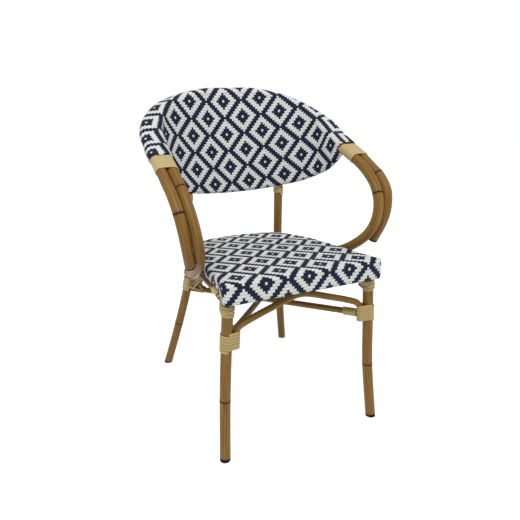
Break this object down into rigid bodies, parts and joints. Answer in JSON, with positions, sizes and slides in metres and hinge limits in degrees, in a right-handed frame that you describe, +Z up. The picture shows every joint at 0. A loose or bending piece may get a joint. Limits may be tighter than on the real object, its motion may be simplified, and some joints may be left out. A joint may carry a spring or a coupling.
{
  "type": "rattan bistro armchair",
  "caption": "Armchair with a bamboo-look tube frame, cane lashings and a woven seat and curved back, for cafes and terraces.",
  "frame": {"origin": "on the floor, under the middle of the chair's box", "axes": "+X to the right as seen from the front, -Y towards the front, +Z up"},
  "size_m": [0.5746, 0.582, 0.8763],
  "materials": {
    "bamboo_tube": "painted tan brown with darker streaks and node rings, like bamboo",
    "woven_skin": "flat strands woven in navy and cream diamonds",
    "cane": "cream flat cane",
    "black_plastic": "moulded",
    "inner_tube": "bare",
    "steel": "zinc plated",
    "wood_bar": "plain softwood"
  },
  "bodies": {
    "root": {"front_leg_left": "bamboo_tube", "front_leg_right": "bamboo_tube", "rear_leg_left": "bamboo_tube", "rear_leg_right": "bamboo_tube", "arm_inner_tube_left": "bamboo_tube", "arm_inner_tube_right": "bamboo_tube", "arm_outer_tube_left": "bamboo_tube", "arm_outer_tube_right": "bamboo_tube", "rim_tube_outer": "bamboo_tube", "rim_tube_inner": "bamboo_tube", "front_arch_brace": "bamboo_tube", "side_brace_left": "bamboo_tube", "side_brace_right": "bamboo_tube", "diagonal_brace_through": "bamboo_tube", "diagonal_brace_front_half": "bamboo_tube", "diagonal_brace_rear_half": "bamboo_tube", "back_weave": "woven_skin", "seat_weave": "woven_skin", "arm_binding_left": "cane", "arm_binding_right": "cane", "front_leg_lashing_left": "cane", "front_leg_lashing_right": "cane", "seat_lashing_left": "cane", "seat_lashing_right": "cane", "rear_lashing_left": "cane", "rear_lashing_right": "cane", "post_wrap_left": "cane", "post_wrap_right": "cane", "brace_wrap_left": "cane", "brace_wrap_right": "cane", "diagonal_sleeve_left": "cane", "diagonal_sleeve_right": "cane", "foot_glide_front_left": "black_plastic", "foot_glide_front_right": "black_plastic", "foot_glide_rear_left": "black_plastic", "foot_glide_rear_right": "black_plastic", "arm_end_cap_left": "black_plastic", "arm_end_cap_right": "black_plastic", "back_bottom_rail": "inner_tube", "seat_frame_ring": "inner_tube", "seat_ring_splice": "inner_tube", "seat_cross_bar_front": "inner_tube", "seat_cross_bar_rear": "inner_tube", "arm_spigot_inner_left": "inner_tube", "arm_spigot_inner_right": "inner_tube", "arm_spigot_outer_left": "inner_tube", "arm_spigot_outer_right": "inner_tube", "leg_dowel_left": "steel", "leg_dowel_right": "steel", "post_screw_left": "steel", "post_screw_right": "steel", "seat_apron_bar": "wood_bar"}
  },
  "joints": []
}
